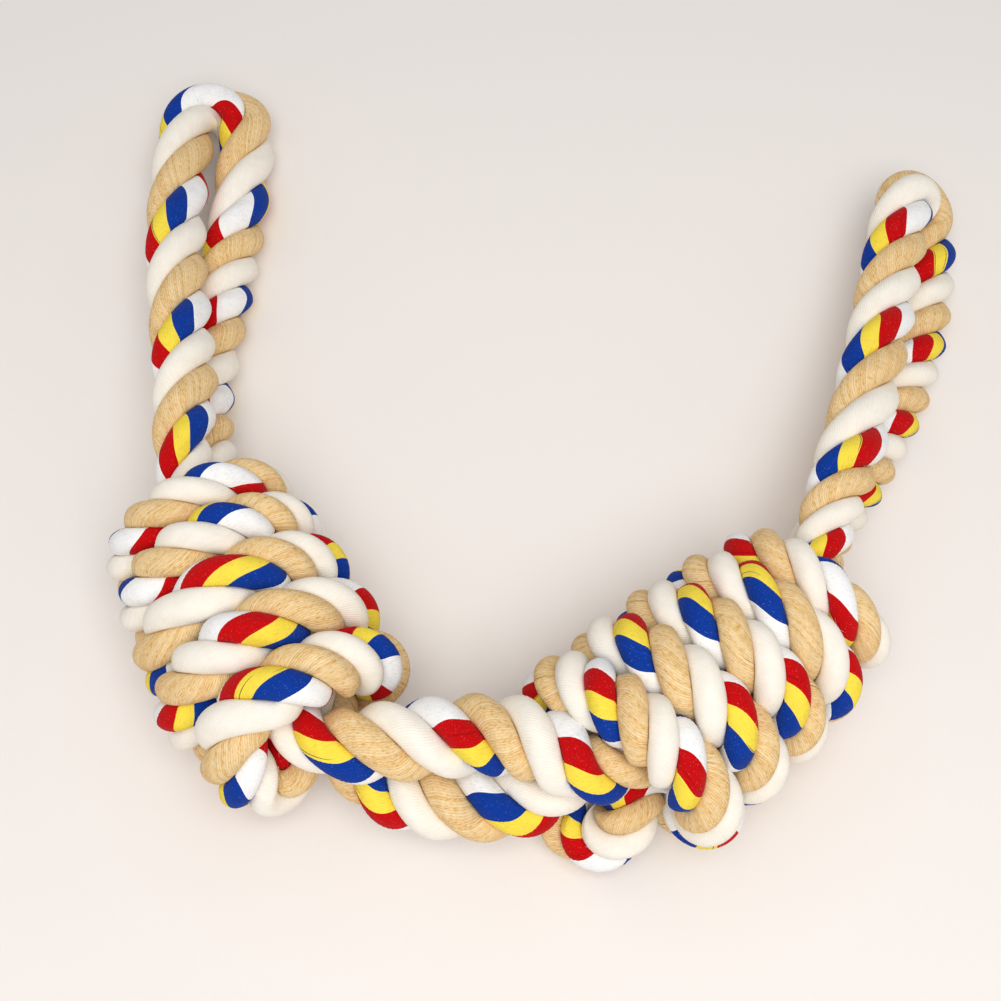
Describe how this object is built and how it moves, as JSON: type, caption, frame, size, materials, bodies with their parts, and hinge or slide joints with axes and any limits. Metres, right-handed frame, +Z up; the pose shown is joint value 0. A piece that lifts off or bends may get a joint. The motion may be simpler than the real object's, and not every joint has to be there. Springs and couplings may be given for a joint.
{
  "type": "rope dog toy",
  "caption": "Thick laid cotton rope tug toy: a wound barrel knot towards each end, rope runs between them and a pulled-out hand loop past each knot.",
  "frame": {"origin": "middle of the toy's box, on the ground that it lies on", "axes": "+Z up from the ground, +Y from the runs between the knots towards the hand loops, +X from the left knot to the right knot"},
  "size_m": [0.34, 0.3488, 0.0814],
  "materials": {
    "laid_cotton_rope": "matte"
  },
  "bodies": {
    "root": {"upper_run": "laid_cotton_rope", "right_core_first_pass": "laid_cotton_rope", "right_hand_loop": "laid_cotton_rope", "right_core_turn_pass": "laid_cotton_rope", "right_knot_winding": "laid_cotton_rope", "right_core_run_pass": "laid_cotton_rope", "lower_run": "laid_cotton_rope", "left_core_run_pass": "laid_cotton_rope", "left_hand_loop": "laid_cotton_rope", "left_core_turn_pass": "laid_cotton_rope", "left_knot_winding": "laid_cotton_rope", "left_tucked_end": "laid_cotton_rope"}
  },
  "joints": []
}
